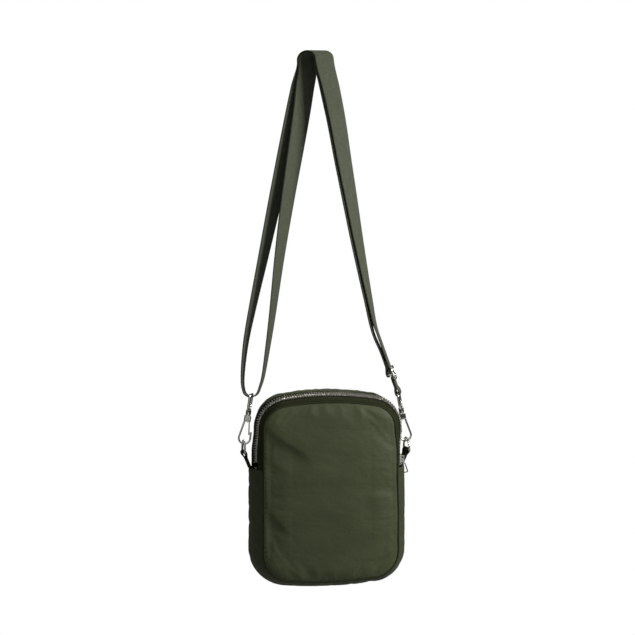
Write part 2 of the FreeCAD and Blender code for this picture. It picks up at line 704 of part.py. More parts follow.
def left_loop(eye_frame):
    """The strap's turn under the left eye's bar, edge-on, and the tops of its two sides."""
    across = eye_frame.a.cross(Z).normalize()
    f = Frame(eye_frame.at(0, EYE_BAR_Z), across, across.cross(eye_frame.a))
    f = f.moved(0, LOOP_R - EYE_WIRE_R - 0.25 - WEB_T / 2)
    lean = math.radians(LOOP_SPREAD)
    arc = [("arc", (0.0, 0.0), LOOP_R, math.pi + lean, math.pi - 2 * lean)]
    save("strap_left_eye_loop", web_face(f, arc, WEB_T))
    ends = []
    for side in (-1, 1):
        at = f.at(side * LOOP_R * math.cos(lean), -LOOP_R * math.sin(lean))
        ends.append((at, f.b * math.cos(lean) + f.a * (side * math.sin(lean))))
    return ends


def right_end(eye_frame):
    """The sewn end round the right eye's bar, and the frame of the straight webbing above it."""
    across = eye_frame.a.cross(Z).normalize()
    upright = across.cross(eye_frame.a)
    t = math.radians(END_LEAN)
    f = Frame(eye_frame.at(0, EYE_BAR_Z), across * math.cos(t) + upright * math.sin(t),
              upright * math.cos(t) - across * math.sin(t))
    turn = EYE_WIRE_R + 0.25 + WEB_T / 2
    stack = WEB_T / 2 + 0.1
    inner = [(-stack, SEWN_END + 0.8), (-stack, 7.0), (-turn, 3.0), (-turn, -turn),
             (turn, -turn), (turn, 3.0), (stack, 7.0), (stack, SEWN_END)]
    radii = [0, 6.0, 4.0, turn - 0.01, turn - 0.01, 4.0, 6.0, 0]
    save("strap_right_end_loop", web_face(f, rounded(inner, radii), WEB_T))
    return f.moved(stack, 0)


def adjuster(f):
    """A slide with its rim on one side of the webbing and a stepped middle bar behind it, and the strap's
    other end sewn round that bar."""
    w = WEB_W / 2 + 2.6
    out = WEB_T / 2 + 0.3 + BUCKLE_R
    behind = WEB_T / 2 + 0.25 + WEB_T + 0.15 + BUCKLE_R
    path = rounded([(-w, SLIDE_LOW), (w, SLIDE_LOW), (w, SLIDE_HIGH), (-w, SLIDE_HIGH)], [3.0] * 4, True)
    rim = tube(path, Frame(f.o + f.a * out, f.c, f.b), BUCKLE_R)
    mid = (SLIDE_LOW + SLIDE_HIGH) / 2
    post = WEB_W / 2 + BUCKLE_R + 0.25
    corners = [f.at(a, mid, c) for a, c in ((out, -post), (-behind, -post), (-behind, post), (out, post))]
    save("strap_adjuster", fuse([rim, bent_rod(corners, BUCKLE_R)]))

    turn = BUCKLE_R + 0.15 + WEB_T / 2
    near = turn - behind
    far = near - WEB_T - 0.1
    top = SLIDE_HIGH + 16.0
    end = rounded([(far, top), (far, mid + 9.0), (-behind - turn, mid + 2.0), (-behind - turn, mid - turn),
                   (near, mid - turn), (near, mid + 14.0)],
                  [0, 4.0, 4.0, turn - 0.01, turn - 0.01, 0])
    save("adjuster_end_loop", web_face(f, end, WEB_T))
    return f.at(far, top)


def strap(left_eye, right_eye):
    (outer_start, outer_up), (inner_start, inner_up) = left_loop(left_eye)
    f = right_end(right_eye)
    rear_start = adjuster(f)
    straight = [("line", (0.0, SEWN_END), (0.0, STRAIGHT_TOP))]
    save("strap_right_lower_run", web_face(f, straight, WEB_T))
    outer, inner = Fold(ROD_R + 0.3 + 1.5 * WEB_T + 0.5), Fold(ROD_R + 0.2 + WEB_T / 2)
    save("strap_top_fold", outer.solid(), inner.solid())

    def run(name, start, start_dir, via, end, width, twist):
        rise = end.z - start.z
        middle = [Vector(x, start.y + (end.y - start.y) * (z - start.z) / rise, z) for x, z in via]
        save(name, strap_run([start, *middle, end], start_dir, width, *twist))

    twist = outer_start.z, LEFT_TWIST
    run("strap_left_outer_run", outer_start, outer_up, LEFT_OUTER, outer.point(1), left_eye.a, twist)
    run("strap_left_inner_run", inner_start, inner_up, LEFT_INNER, inner.point(1), left_eye.a, twist)
    top = f.at(0, STRAIGHT_TOP)
    twist = top.z, RIGHT_TWIST
    run("strap_right_front_run", top, f.b, RIGHT_FRONT, outer.point(0), right_eye.a, twist)
    run("strap_right_rear_run", rear_start, f.b, RIGHT_REAR, inner.point(0), right_eye.a, twist)


def main():
    os.makedirs("parts", exist_ok=True)
    shell()
    zip_chain()
    zip_slider()
    for prefix, side in (("left", -1), ("right", 1)):
        save(prefix + "_d_ring", d_ring(side))
        save(prefix + "_ring_tab", ring_tab(side))
    left, left_eye = hook_frames(-1, LEFT_LEAN, LEFT_YAW)
    right, right_eye = hook_frames(1, RIGHT_LEAN, RIGHT_YAW)
    hook_parts("left", left)
    hook_parts("right", right)
    save("left_swivel_eye", eye(left_eye))
    save("right_swivel_eye", eye(right_eye))
    strap(left_eye, right_eye)


main()
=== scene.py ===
import json
import math

import bmesh
import bpy
import numpy as np
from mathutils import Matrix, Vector, noise
from mathutils.geometry import delaunay_2d_cdt


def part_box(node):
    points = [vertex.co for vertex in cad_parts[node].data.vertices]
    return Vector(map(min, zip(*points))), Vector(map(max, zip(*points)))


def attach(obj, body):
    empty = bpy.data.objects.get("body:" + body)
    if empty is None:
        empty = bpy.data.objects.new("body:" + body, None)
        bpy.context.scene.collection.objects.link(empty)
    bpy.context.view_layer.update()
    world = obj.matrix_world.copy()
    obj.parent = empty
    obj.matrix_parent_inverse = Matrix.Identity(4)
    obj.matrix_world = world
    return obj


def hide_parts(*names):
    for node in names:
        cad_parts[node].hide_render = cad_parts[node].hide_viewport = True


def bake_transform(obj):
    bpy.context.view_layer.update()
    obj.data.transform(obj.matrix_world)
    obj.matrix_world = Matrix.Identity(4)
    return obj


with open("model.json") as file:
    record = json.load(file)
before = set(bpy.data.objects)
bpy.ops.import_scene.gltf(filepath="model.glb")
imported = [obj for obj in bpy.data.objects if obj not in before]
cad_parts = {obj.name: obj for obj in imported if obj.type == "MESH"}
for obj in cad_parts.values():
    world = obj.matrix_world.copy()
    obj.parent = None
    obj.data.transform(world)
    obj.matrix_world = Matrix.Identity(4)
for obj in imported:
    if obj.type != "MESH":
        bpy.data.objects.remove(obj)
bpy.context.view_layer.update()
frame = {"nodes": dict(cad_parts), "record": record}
MM = 0.001
X, Y, Z = Vector((1, 0, 0)), Vector((0, 1, 0)), Vector((0, 0, 1))


# ---------------------------------------------------------------- places taken from the fixed frame, in mm
def box_mm(node):
    low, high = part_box(node)
    return low / MM, high / MM


SEAM_W = 70.0  # half the width between the side seams
SEAM_BOTTOM, SEAM_TOP = 9.6, 196.0
SEAM_Y = 27.5  # the front and back seams' distance from the middle
SEWN_Y = SEAM_Y - 0.9  # where the gusset's edge meets the seam
TOP_R, TOP_ARCH, LOW_R, LOW_ARCH = 26.0, 300.0, 28.0, 450.0
ZIP_END = 125.0
LOWER_BULGE, UPPER_BULGE = 9.6, 7.0
ZIP_Y = -12.0
TEETH_HALF = 3.1  # half the width of the closed chain
WEB_W, WEB_T = 25.0, 1.4
RING_WIRE = 1.1  # radius of a D-ring's wire


# ---------------------------------------------------------------- the seam outline, by arc length
def arch(corner, radius, crown, up):
    """A flat arch between corner arcs: the height of the corners' middles, of its own, and half its angle."""
    inner = SEAM_W - corner
    rise = math.sqrt((radius - corner) ** 2 - inner ** 2)
    return crown - up * (radius - rise), crown - up * radius, math.asin(inner / (radius - corner))


def outline(step):
    """The seam above and below the zip's ends, anticlockwise: rows of x, z, outward x and z, distance."""
    quarter = math.pi / 2
    top_z, top_arch_z, top_half = arch(TOP_R, TOP_ARCH, SEAM_TOP, 1)
    low_z, low_arch_z, low_half = arch(LOW_R, LOW_ARCH, SEAM_BOTTOM, -1)
    top_x, low_x = SEAM_W - TOP_R, SEAM_W - LOW_R
    parts = [
        ("line", (SEAM_W, ZIP_END), (SEAM_W, top_z)),
        ("arc", (top_x, top_z), TOP_R, 0.0, quarter - top_half),
        ("arc", (0.0, top_arch_z), TOP_ARCH, quarter - top_half, 2 * top_half),
        ("arc", (-top_x, top_z), TOP_R, quarter + top_half, quarter - top_half),
        ("line", (-SEAM_W, top_z), (-SEAM_W, ZIP_END)),
        ("mark",),
        ("line", (-SEAM_W, ZIP_END), (-SEAM_W, low_z)),
        ("arc", (-low_x, low_z), LOW_R, 2 * quarter, quarter - low_half),
        ("arc", (0.0, low_arch_z), LOW_ARCH, 3 * quarter - low_half, 2 * low_half),
        ("arc", (low_x, low_z), LOW_R, 3 * quarter + low_half, quarter - low_half),
        ("line", (SEAM_W, low_z), (SEAM_W, ZIP_END)),
    ]
    rows, halves, travelled = [], [], 0.0
    for kind, *data in parts:
        if kind == "mark":
            halves.append(rows)
            rows = []
            continue
        if kind == "line":
            (x0, z0), (x1, z1) = data
            length = math.hypot(x1 - x0, z1 - z0)
        else:
            (cx, cz), r, start, turn = data
            length = r * turn
        count = max(2, round(length / step))
        for i in range(count + 1):
            if rows and i == 0:
                continue
            t = i / count
            if kind == "line":
                tx, tz = (x1 - x0) / length, (z1 - z0) / length
                rows.append((x0 + tx * length * t, z0 + tz * length * t, tz, -tx, travelled + length * t))
            else:
                a = start + turn * t
                rows.append((cx + r * math.cos(a), cz + r * math.sin(a), math.cos(a), math.sin(a),
                             travelled + length * t))
        travelled += length
    halves.append(rows)
    return halves


def bulge(height):
    """How far the gusset's round profile stands out from the seam, at each depth."""
    r = (SEAM_Y ** 2 + height ** 2) / (2 * height)
    return lambda y: height - r + math.sqrt(max(r * r - y * y, 0.0))


lower_n, upper_n = bulge(LOWER_BULGE), bulge(UPPER_BULGE)


def on_gusset(row, y, n):
    """The point n outside the seam outline, at depth y."""
    x, z, nx, nz, _ = row
    return Vector((x + nx * n, y, z + nz * n))


def smooth(t):
    """0 up to 0 and 1 from 1, with a soft step between."""
    t = max(0.0, min(1.0, t))
    return t * t * (3 - 2 * t)


def relax(p):
    """How the hanging bag gives: its front seam sits lower and its top is pushed a little to the right."""
    top, high, low = smooth((p.z - 160) / 34), smooth((p.z - 141) / 25), smooth((118 - p.z) / 40)
    front, back = smooth((-p.y - 4) / 23), 1 - smooth((-p.y - 8) / 19)
    right = smooth((p.x + 70) / 140)
    bulge_right = 2.6 * math.exp(-((p.y + 14) / 8) ** 2) - 2.2 * front
    dx = high * (2.4 * back * (1 - right) + bulge_right * right) + low * front * right
    return p + X * dx + Z * (top * (-0.3 * back - 2.3 * front))


# ---------------------------------------------------------------- mesh helpers
def make(name, verts, faces, material=None, soft=True, uvs=None, thickness=0.0, subdivide=0, offset=-1.0):
    """A mesh object from points in mm. Sheets get a thickness, so that every piece is a closed solid."""
    mesh = bpy.data.meshes.new(name)
    mesh.from_pydata([tuple(Vector(v) * MM) for v in verts], [], faces)
    mesh.validate()
    obj = bpy.data.objects.new(name, mesh)
    bpy.context.scene.collection.objects.link(obj)
    if uvs:
        layer = mesh.uv_layers.new(name="UVMap")
        for loop in mesh.loops:
            layer.data[loop.index].uv = uvs[loop.vertex_index]
    bm = bmesh.new()
    bm.from_mesh(mesh)
    bmesh.ops.recalc_face_normals(bm, faces=bm.faces)
    bm.to_mesh(mesh)
    bm.free()
    if subdivide:
        m = obj.modifiers.new("sub", "SUBSURF")
        m.levels = m.render_levels = subdivide
    if thickness:
        m = obj.modifiers.new("thick", "SOLIDIFY")
        m.thickness, m.offset = thickness * MM, offset
    apply_modifiers(obj)
    if soft:
        for p in obj.data.polygons:
            p.use_smooth = True
    if material:
        obj.data.materials.clear()
        obj.data.materials.append(material)
    return obj


def apply_modifiers(obj):
    """Replaces an object's mesh with the mesh its modifiers give."""
    if not obj.modifiers:
        return
    depsgraph = bpy.context.evaluated_depsgraph_get()
    mesh = bpy.data.meshes.new_from_object(obj.evaluated_get(depsgraph), preserve_all_data_layers=True,
                                           depsgraph=depsgraph)
    obj.modifiers.clear()
    old = obj.data
    obj.data = mesh
    bpy.data.meshes.remove(old)
    mesh.name = obj.name


def grid_faces(rows, columns):
    faces = []
    for i in range(rows - 1):
        for k in range(columns - 1):
            a, b = i * columns + k, (i + 1) * columns + k
            faces.append((a, a + 1, b + 1, b))
    return faces


def tube(name, points, radii, material, sides=10, closed=False):
    """A round cord along points in mm, with a radius at each point."""
    verts, faces, uvs = [], [], []
    count = len(points)
    reference, travelled = None, 0.0
    for i, p in enumerate(points):
        a = points[i - 1] if i or closed else points[0]
        b = points[(i + 1) % count] if i < count - 1 or closed else points[-1]
        t = (b - a).normalized()
        if reference is None:
            reference = t.orthogonal().normalized()
        reference = (reference - t * reference.dot(t)).normalized()
        side = t.cross(reference)
        if i:
            travelled += (p - points[i - 1]).length
        for k in range(sides):
            angle = 2 * math.pi * k / sides
            verts.append(p + reference * (radii[i] * math.cos(angle)) + side * (radii[i] * math.sin(angle)))
            uvs.append((k / sides, travelled / 10))
    for i in range(count if closed else count - 1):
        j = (i + 1) % count
        for k in range(sides):
            m = (k + 1) % sides
            faces.append((i * sides + k, i * sides + m, j * sides + m, j * sides + k))
    if not closed:
        faces.append(tuple(range(sides)))
        faces.append(tuple((count - 1) * sides + k for k in range(sides)))
    return make(name, verts, faces, material, uvs=uvs)


def ribbon(name, frames, width, thickness, material, wave=0.0):
    """Flat webbing along (point, across, normal) frames, with rounded edges and closed ends."""
    half, t = width / 2, thickness / 2
    section = [(-half, 0.0), (-half + 0.25 * t, t * 0.75), (-half + t, t)]
    section += [(-half + t + (width - 2 * t) * k / 10, t) for k in range(1, 10)]
    section += [(half - t, t), (half - 0.25 * t, t * 0.75), (half, 0.0)]
    section += [(a, -b) for a, b in reversed(section[1:-1])]
    verts, uvs, faces, travelled = [], [], [], 0.0
    for i, (p, across, normal) in enumerate(frames):
        if i:
            travelled += (p - frames[i - 1][0]).length
        ripple = wave * noise.noise(Vector((travelled * 0.035, 3.1, 0.0)))
        for a, b in section:
            cup = ripple * (1 - (a / half) ** 2)
            verts.append(p + across * a + normal * (b + cup))
            uvs.append((a / 10, travelled / 10))
    n = len(section)
    for i in range(len(frames) - 1):
        for k in range(n):
            m = (k + 1) % n
            faces.append((i * n + k, i * n + m, (i + 1) * n + m, (i + 1) * n + k))
    faces.append(tuple(range(n)))
    faces.append(tuple((len(frames) - 1) * n + k for k in range(n)))
    return make(name, verts, faces, material, uvs=uvs)


# one stitch, end to end: place along it, thickness and height above the cloth
STITCH_RINGS = [(0.0, 0.35, -0.25), (0.18, 0.9, 0.02), (0.5, 1.0, 0.1), (0.82, 0.9, 0.02), (1.0, 0.35, -0.25)]


def stitches(name, points, normals, material, pitch, length, radius):
    """A row of thread stitches along a line of points in mm."""
    verts, faces = [], []
    gaps = [0.0]
    for p, q in zip(points, points[1:]):
        gaps.append(gaps[-1] + (q - p).length)

    def locate(d):
        i = int(min(max(np.searchsorted(gaps, d) - 1, 0), len(points) - 2))
        t = (d - gaps[i]) / max(gaps[i + 1] - gaps[i], 1e-6)
        return points[i].lerp(points[i + 1], t), normals[i].lerp(normals[i + 1], t).normalized()

    d = pitch / 2
    while d + length < gaps[-1]:
        p, n = locate(d)
        q, _ = locate(d + length)
        along = (q - p).normalized()
        side = along.cross(n).normalized()
        base = len(verts)
        for share, size, lift in STITCH_RINGS:
            centre = p.lerp(q, share) + n * (lift * radius * 2.5)
            for k in range(6):
                angle = math.pi * k / 3
                wide, high = radius * size * 1.2 * math.cos(angle), radius * size * math.sin(angle)
                verts.append(centre + side * wide + n * high)
        last = base + (len(STITCH_RINGS) - 1) * 6
        for a in range(base, last, 6):
            for k in range(6):
                m = (k + 1) % 6
                faces.append((a + k, a + m, a + 6 + m, a + 6 + k))
        faces.append(tuple(base + k for k in range(6)))
        faces.append(tuple(last + k for k in range(6)))
        d += pitch
    return make(name, verts, faces, material)


# ---------------------------------------------------------------- materials
class Look:
    """A procedural material built node by node."""

    def __init__(self, name, colour, roughness, metallic=0.0):
        self.material = bpy.data.materials.new(name)
        self.material.use_nodes = True
        self.tree = self.material.node_tree
        self.shader = self.tree.nodes["Principled BSDF"]
        self.shader.inputs["Base Color"].default_value = (*colour, 1)
        self.shader.inputs["Roughness"].default_value = roughness
        self.shader.inputs["Metallic"].default_value = metallic
        self.colour = colour
        self.height = None

    def node(self, kind, inputs=None, **settings):
        n = self.tree.nodes.new(kind)
        for key, value in settings.items():
            setattr(n, key, value)
        for key, value in (inputs or {}).items():
            if hasattr(value, "links") or isinstance(value, bpy.types.NodeSocket):
                self.tree.links.new(value, n.inputs[key])
            else:
                n.inputs[key].default_value = value
        return n

    def coordinates(self, kind="Object", scale=(1, 1, 1), rotation=(0, 0, 0)):
        source = self.node("ShaderNodeTexCoord").outputs[kind]
        mapped = self.node("ShaderNodeMapping", {"Vector": source})
        mapped.inputs["Scale"].default_value = scale
        mapped.inputs["Rotation"].default_value = rotation
        return mapped.outputs["Vector"]

    def noise(self, vector, scale, detail=4.0, rough=0.55):
        return self.node("ShaderNodeTexNoise", {"Vector": vector, "Scale": scale, "Detail": detail,
                                                "Roughness": rough}).outputs["Fac"]

    def math(self, operation, a, b=0.0):
        n = self.node("ShaderNodeMath", operation=operation)
        for socket, value in zip(n.inputs, (a, b)):
            if isinstance(value, bpy.types.NodeSocket):
                self.tree.links.new(value, socket)
            else:
                socket.default_value = value
        return n.outputs[0]

    def bump(self, height, strength, distance):
        inputs = {"Height": height, "Strength": strength, "Distance": distance}
        if self.height is not None:
            inputs["Normal"] = self.height
        self.height = self.node("ShaderNodeBump", inputs).outputs["Normal"]
        self.tree.links.new(self.height, self.shader.inputs["Normal"])

    def tint(self, factor, low, high, colours=None):
        """Base colour that runs between two brightnesses of the look's own colour."""
        ramp = self.node("ShaderNodeValToRGB", {"Fac": factor})
        dark, light = colours or ([c * low for c in self.colour], [c * high for c in self.colour])
        ramp.color_ramp.elements[0].color = (*dark, 1)
        ramp.color_ramp.elements[1].color = (*light, 1)
        ramp.color_ramp.elements[0].position, ramp.color_ramp.elements[1].position = 0.3, 0.7
        self.tree.links.new(ramp.outputs["Color"], self.shader.inputs["Base Color"])
        return ramp

    def roughen(self, factor, low, high):
        span = self.node("ShaderNodeMapRange", {"Value": factor, "To Min": low, "To Max": high})
        self.tree.links.new(span.outputs["Result"], self.shader.inputs["Roughness"])

    def put(self, **inputs):
        for key, value in inputs.items():
            self.shader.inputs[key.replace("_", " ")].default_value = value
        return self


def woven_nylon(name, colour, crumple=1.0, gloss=1.0):
    """Satin nylon: a fine plain weave, a soft sheen and small crumples."""
    look = Look(name, colour, 0.5)
    near = look.coordinates()
    threads = {"Vector": near, "Scale": 420.0, "Distortion": 0.4}
    warp = look.node("ShaderNodeTexWave", threads, bands_direction="X")
    weft = look.node("ShaderNodeTexWave", threads, bands_direction="Z")
    weave = look.math("MULTIPLY", warp.outputs["Fac"], weft.outputs["Fac"])
    crush = look.noise(look.coordinates(scale=(1.0, 1.0, 1.7)), 75.0, 5.0, 0.6)
    small = look.noise(near, 260.0, 3.0, 0.6)
    look.bump(crush, 0.30 * crumple, 0.0022)
    look.bump(small, 0.16 * crumple, 0.0006)
    look.bump(weave, 0.10, 0.0002)
    look.tint(look.noise(near, 16.0, 3.0), 0.9, 1.1)
    look.roughen(crush, 0.52, 0.68)
    return look.put(Sheen_Weight=0.07 * gloss, Sheen_Roughness=0.5, Specular_IOR_Level=0.2 * gloss).material


def webbing_look(name, colour):
    """Flat nylon webbing: herringbone rows down its length and a tighter edge."""
    look = Look(name, colour, 0.62)
    uv = look.node("ShaderNodeTexCoord").outputs["UV"]
    split = look.node("ShaderNodeSeparateXYZ", {"Vector": uv})
    across, along = split.outputs["X"], split.outputs["Y"]
    fold = look.math("PINGPONG", across, 0.21)
    slant = look.math("ADD", look.math("MULTIPLY", along, 44.0), look.math("MULTIPLY", fold, 62.0))
    twill = look.math("SINE", slant)
    column = look.math("SINE", look.math("MULTIPLY", across, 62.0))
    height = look.math("ADD", look.math("MULTIPLY", twill, 0.6), look.math("MULTIPLY", column, 0.4))
    look.bump(height, 0.55, 0.0003)
    look.bump(look.noise(look.coordinates(), 120.0, 3.0), 0.2, 0.0008)
    shade = look.math("ADD", look.math("MULTIPLY", height, 0.18), 0.5)
    edge = look.math("GREATER_THAN", look.math("ABSOLUTE", across), 1.13)
    shade = look.math("SUBTRACT", shade, look.math("MULTIPLY", edge, 0.22))
    mottle = look.noise(look.coordinates(scale=(0.5, 0.5, 1.0)), 420.0, 2.0)
    shade = look.math("ADD", shade, look.math("MULTIPLY", look.math("SUBTRACT", mottle, 0.5), 0.55))
    look.tint(shade, 0.62, 1.22)
    return look.put(Sheen_Weight=0.08, Specular_IOR_Level=0.22).material


def tape_look(name, colour):
    """Woven zip tape: fine ribs along its length."""
    look = Look(name, colour, 0.6)
    near = look.coordinates()
    ribs = look.node("ShaderNodeTexWave", {"Vector": near, "Scale": 260.0}, bands_direction="Y")
    look.bump(ribs.outputs["Fac"], 0.35, 0.0002)
    look.tint(look.noise(near, 90.0), 0.85, 1.15)
    return look.put(Specular_IOR_Level=0.03).material


def metal_look(name, colour, roughness, wear=0.25):
    """Plated metal with light handling marks and duller patches."""
    look = Look(name, colour, roughness, 1.0)
    near = look.coordinates()
    patches = look.noise(near, 300.0, 4.0)
    scratches = look.noise(look.coordinates(scale=(1, 1, 8)), 900.0, 2.0)
    look.roughen(patches, roughness * 0.7, roughness * 1.5)
    look.bump(scratches, 0.05, 0.0001)
    look.bump(patches, 0.04 * wear, 0.0004)
    look.tint(patches, 1 - wear, 1.0)
    return look.material


def thread_look(name, colour):
    """Twisted sewing thread."""
    look = Look(name, colour, 0.55)
    twist = look.node("ShaderNodeTexWave", {"Vector": look.coordinates(), "Scale": 900.0},
                      bands_direction="DIAGONAL").outputs["Fac"]
    look.bump(twist, 0.4, 0.0001)
    return look.put(Sheen_Weight=0.15).material


shell_look = woven_nylon("shell nylon", (0.0475, 0.0576, 0.0250))
# painted shade: the lower gusset is the shell's nylon made about a quarter darker, standing in for the shade
# on its sides
gusset_painted_shade_look = woven_nylon("gusset nylon painted shade", (0.036, 0.042, 0.019), 0.8, 0.6)
band_look = woven_nylon("band nylon", (0.019, 0.021, 0.008), 0.5, 0.12)
# painted shade: the piping is the shell's nylon made much darker, so the seams read as shaded lines
piping_painted_shade_look = woven_nylon("piping nylon painted seam shade", (0.020, 0.023, 0.010), 0.6, 0.4)
lining_look = woven_nylon("lining", (0.030, 0.033, 0.017), 0.5)
web_look = webbing_look("webbing", (0.057, 0.065, 0.037))
zip_tape_look = tape_look("zip tape", (0.012, 0.013, 0.006))
stitch_look = thread_look("thread", (0.030, 0.034, 0.017))
tooth_look = metal_look("antique nickel", (0.80, 0.78, 0.70), 0.30, 0.30)
polished_look = metal_look("polished nickel", (0.78, 0.77, 0.72), 0.13, 0.15)
spring_look = metal_look("spring wire", (0.45, 0.45, 0.45), 0.35, 0.3)


# ---------------------------------------------------------------- soft sheets settled as cloth
def settle(name, verts, faces, pinned, pressure, slack, cap, frames=18):
    """Lets a sewn sheet billow and pucker between its pinned edges, and returns the moved points in mm."""
    mesh = bpy.data.meshes.new(name + "_sim")
    mesh.from_pydata([tuple(Vector(v) * MM) for v in verts], [], faces)
    obj = bpy.data.objects.new(name + "_sim", mesh)
    bpy.context.scene.collection.objects.link(obj)
    group = obj.vertex_groups.new(name="pin")
    group.add(list(pinned), 1.0, "REPLACE")
    cloth = obj.modifiers.new("cloth", "CLOTH")
    s = cloth.settings
    s.quality = 6
    s.mass = 0.15
    s.tension_stiffness = s.compression_stiffness = 18
    s.shear_stiffness = 8
    s.bending_stiffness = 0.25
    s.tension_damping = s.compression_damping = s.shear_damping = 8
    s.bending_damping = 0.6
    s.air_damping = 3
    s.vertex_group_mass = "pin"
    s.use_pressure = True
    s.uniform_pressure_force = pressure
    s.shrink_min = -slack
    s.effector_weights.gravity = 0
    cloth.collision_settings.use_collision = False
    cloth.point_cache.frame_start, cloth.point_cache.frame_end = 1, frames
    scene = bpy.context.scene
    for f in range(1, frames + 1):
        scene.frame_set(f)
    depsgraph = bpy.context.evaluated_depsgraph_get()
    result = obj.evaluated_get(depsgraph).to_mesh()
    moved = []
    for v, rest in zip(result.vertices, verts):
        rest = Vector(rest)
        shift = v.co / MM - rest
        if shift.length > cap:
            shift *= cap / shift.length
        moved.append(rest + shift)
    obj.modifiers.clear()
    bpy.data.objects.remove(obj, do_unlink=True)
    scene.frame_set(1)
    return moved


def inside_outline(points, x, z):
    """Whether a point is inside a closed line of points."""
    hit = False
    j = len(points) - 1
    for i in range(len(points)):
        (x0, z0), (x1, z1) = points[i], points[j]
        if (z0 > z) != (z1 > z) and x < (x1 - x0) * (z - z0) / (z1 - z0) + x0:
            hit = not hit
        j = i
    return hit


def along_line(p, a, b, width):
    """Distance to the left of the line from a to b, and a weight that dies out past its ends."""
    length = math.hypot(b[0] - a[0], b[1] - a[1])
    ux, uz = (b[0] - a[0]) / length, (b[1] - a[1]) / length
    s = (p[0] - a[0]) * ux + (p[1] - a[1]) * uz
    d = (p[0] - a[0]) * -uz + (p[1] - a[1]) * ux
    start, end = (s + width) / (3 * width), (length + width - s) / (3 * width)
    fade = max(0.0, min(1.0, start)) * max(0.0, min(1.0, end))
    return d, fade * fade * (3 - 2 * fade)


def crease(p, a, b, width, depth):
    """A soft valley from a to b, in x and z."""
    d, fade = along_line(p, a, b, width)
    valley, bank = math.exp(-(d / width) ** 2), math.exp(-((d - 1.8 * width) / (1.3 * width)) ** 2)
    return depth * fade * (valley - 0.4 * bank)


def slope(p, a, b, width, depth):
    """Cloth that turns sharply at the line from a to b, slopes away to its left, then comes back slowly."""
    d, fade = along_line(p, a, b, width * 0.7)
    t = max(d, 0.0) / width
    return depth * fade * t * math.exp(1.0 - t)


# each fold is a line from (x, z) to (x, z), a width and a depth, all in mm
FRONT_SLOPES = [
    ((-24, 138), (-76, 172), 10.0, -2.1), ((-46, 124), (-76, 142), 10.0, -1.4),
    ((-46, 62), (-74, 95), 8.0, -1.7), ((66, 101), (38, 102), 7.0, 0.8), ((68, 38), (36, 32), 7.0, -0.9),
    ((10, 118), (-40, 112), 12.0, -0.7), ((40, 140), (-10, 146), 14.0, -0.6),
    ((20, 78), (-45, 84), 14.0, -0.6), ((66, 62), (10, 56), 12.0, -0.6),
]
FRONT_FOLDS = [
    ((-12, 196), (-9, 180), 3.0, -0.28), ((20, 196), (28, 172), 3.6, -0.18),
    ((42, 194), (34, 172), 3.6, -0.16), ((-36, 194), (-33, 178), 3.0, -0.2),
    ((-66, 40), (-62, 70), 3.0, -0.5), ((52, 20), (66, 34), 3.4, 0.8), ((-30, 8), (-24, 24), 3.0, -0.4),
    ((4, 7), (8, 20), 2.6, -0.35), ((34, 8), (30, 22), 2.8, -0.4), ((70, 150), (56, 146), 2.6, -0.4),
    ((71, 122), (58, 112), 2.8, 0.5),
]
BACK_SLOPES = [
    ((-20, 150), (-72, 170), 12.0, -1.5), ((70, 120), (20, 130), 12.0, -1.2),
    ((50, 60), (-30, 66), 14.0, -0.9),
]
BACK_FOLDS = [
    ((-50, 170), (-20, 190), 5.0, -0.9), ((30, 150), (62, 168), 6.0, -0.8), ((-20, 40), (55, 30), 6.0, -0.7),
    ((10, 194), (14, 176), 2.8, -0.6), ((-66, 60), (-50, 70), 3.0, -0.6),
]


def panel_sheet(front, rise, belly):
    """An even mesh inside the seam: points, faces, pinned points and each point's distance to the seam."""
    rim = [r for half in outline(2.4) for r in half[:-1]]
    edge = [(x - nx * 0.5, z - nz * 0.5) for x, z, nx, nz, _ in rim]
    limit = [(x - nx * 1.8, z - nz * 1.8) for x, z, nx, nz, _ in rim]
    points = [Vector(p) for p in edge]
    step = 2.9
    row = 0
    z = SEAM_BOTTOM
    while z < SEAM_TOP:
        x = -SEAM_W + (step / 2 if row % 2 else 0)
        while x < SEAM_W:
            if inside_outline(limit, x, z):
                points.append(Vector((x, z)))
            x += step
        z += step * 0.866
        row += 1
    ring = [(i, (i + 1) % len(edge)) for i in range(len(edge))]
    flat, _, faces, *_ = delaunay_2d_cdt(points, ring, [], 1, 1e-5)
    edge_xz = np.array(edge)
    aways = np.array([np.min(np.hypot(edge_xz[:, 0] - p.x, edge_xz[:, 1] - p.y)) for p in flat])
    verts = []
    for p, away in zip(flat, aways):
        pillow = max(0.0, 1 - (p.x / SEAM_W) ** 2) * max(0.0, 1 - ((p.y - 103) / 94) ** 2)
        dome = rise * (1 - math.exp(-away / 11.0)) + belly * pillow ** 0.8
        verts.append(Vector((p.x, front * (SEAM_Y + 0.2 + dome), p.y)))
    faces = [tuple(reversed(f)) if front > 0 else tuple(f) for f in faces]
    return verts, faces, range(len(edge)), aways


def puckers_only(verts, moved, aways):
    """The settled cloth's shifts, less the mean billow at each distance from the seam."""
    shift = np.array([(p - rest)[:] for p, rest in zip(moved, verts)])
    bands = np.minimum((aways / 3.0).astype(int), 9)
    for band in range(10):
        members = bands == band
        if members.any():
            shift[members, 1] -= shift[members, 1].mean()
    return shift


